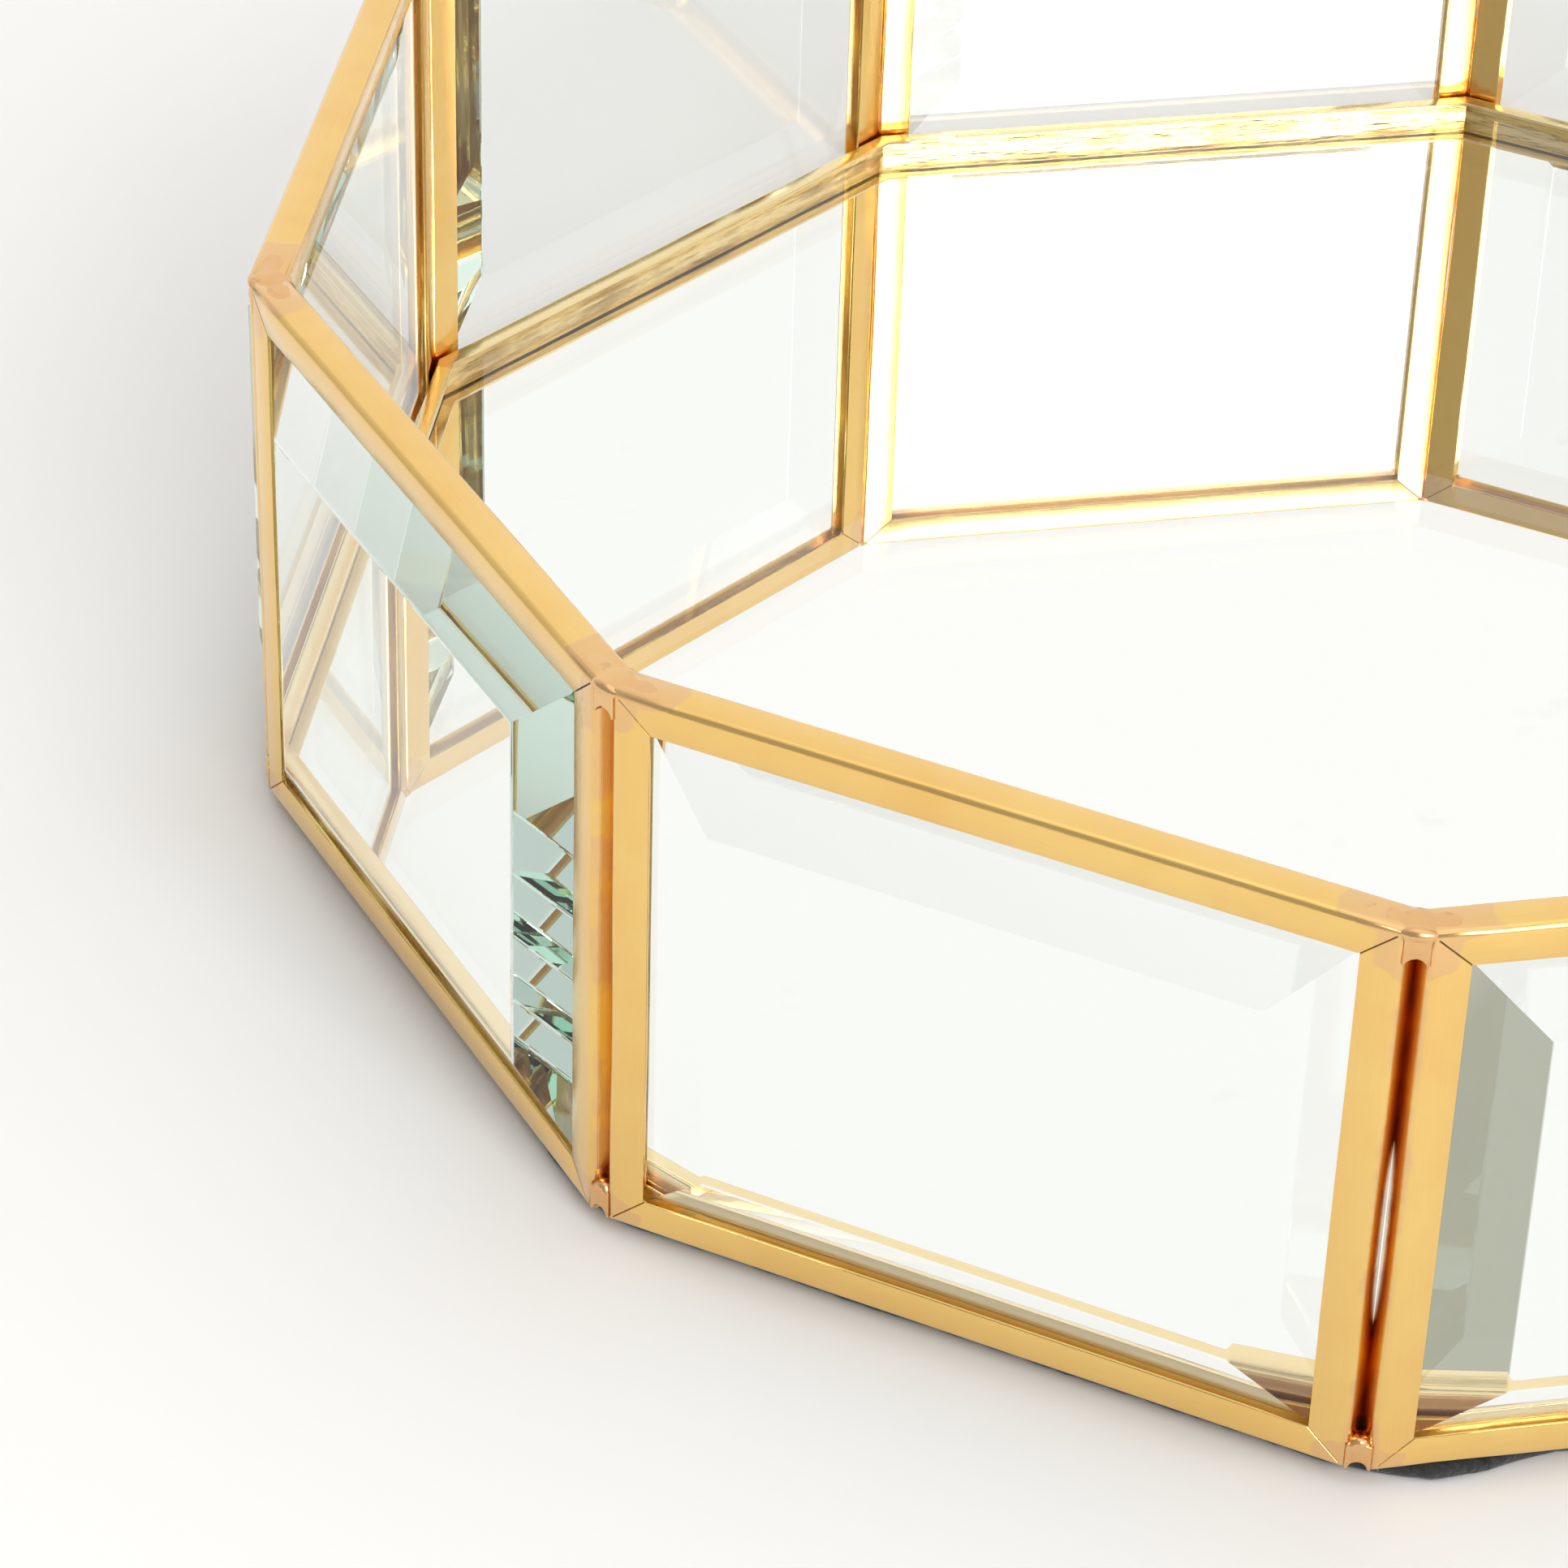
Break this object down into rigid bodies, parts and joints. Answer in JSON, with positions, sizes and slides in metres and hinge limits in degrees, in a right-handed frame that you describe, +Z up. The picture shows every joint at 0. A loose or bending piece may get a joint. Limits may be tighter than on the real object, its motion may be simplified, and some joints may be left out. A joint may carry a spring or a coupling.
{
  "type": "vanity tray",
  "caption": "Polygonal vanity tray with upright bevelled glass panes in soldered brass channel frames round a brass-rimmed mirror floor, with felt under the base.",
  "frame": {"origin": "centre of the felt's underside, on the surface that the tray stands on", "axes": "+Z up; -Y out through the middle of the first pane, which faces the viewer; +X to that viewer's right, through a corner"},
  "size_m": [0.2068, 0.202, 0.0533],
  "materials": {
    "brass": "bright rolled strip, lightly tarnished in the folds",
    "solder": "gilded solder, lumpy satin",
    "glass": "clear polished glass with a ground and polished bevel",
    "mirror": "silvered back of clear glass",
    "felt": "black pressed felt"
  },
  "bodies": {
    "root": {"pane_frame_01": "brass", "pane_frame_02": "brass", "pane_frame_03": "brass", "pane_frame_04": "brass", "pane_frame_05": "brass", "pane_frame_06": "brass", "pane_frame_07": "brass", "pane_frame_08": "brass", "pane_frame_09": "brass", "pane_frame_10": "brass", "glass_pane_01": "glass", "glass_pane_02": "glass", "glass_pane_03": "glass", "glass_pane_04": "glass", "glass_pane_05": "glass", "glass_pane_06": "glass", "glass_pane_07": "glass", "glass_pane_08": "glass", "glass_pane_09": "glass", "glass_pane_10": "glass", "top_solder_joint_01": "solder", "top_solder_joint_02": "solder", "top_solder_joint_03": "solder", "top_solder_joint_04": "solder", "top_solder_joint_05": "solder", "top_solder_joint_06": "solder", "top_solder_joint_07": "solder", "top_solder_joint_08": "solder", "top_solder_joint_09": "solder", "top_solder_joint_10": "solder", "bottom_solder_joint_01": "solder", "bottom_solder_joint_02": "solder", "bottom_solder_joint_03": "solder", "bottom_solder_joint_04": "solder", "bottom_solder_joint_05": "solder", "bottom_solder_joint_06": "solder", "bottom_solder_joint_07": "solder", "bottom_solder_joint_08": "solder", "bottom_solder_joint_09": "solder", "bottom_solder_joint_10": "solder", "base_rim": "brass", "base_mirror": "mirror", "base_felt": "felt"}
  },
  "joints": []
}
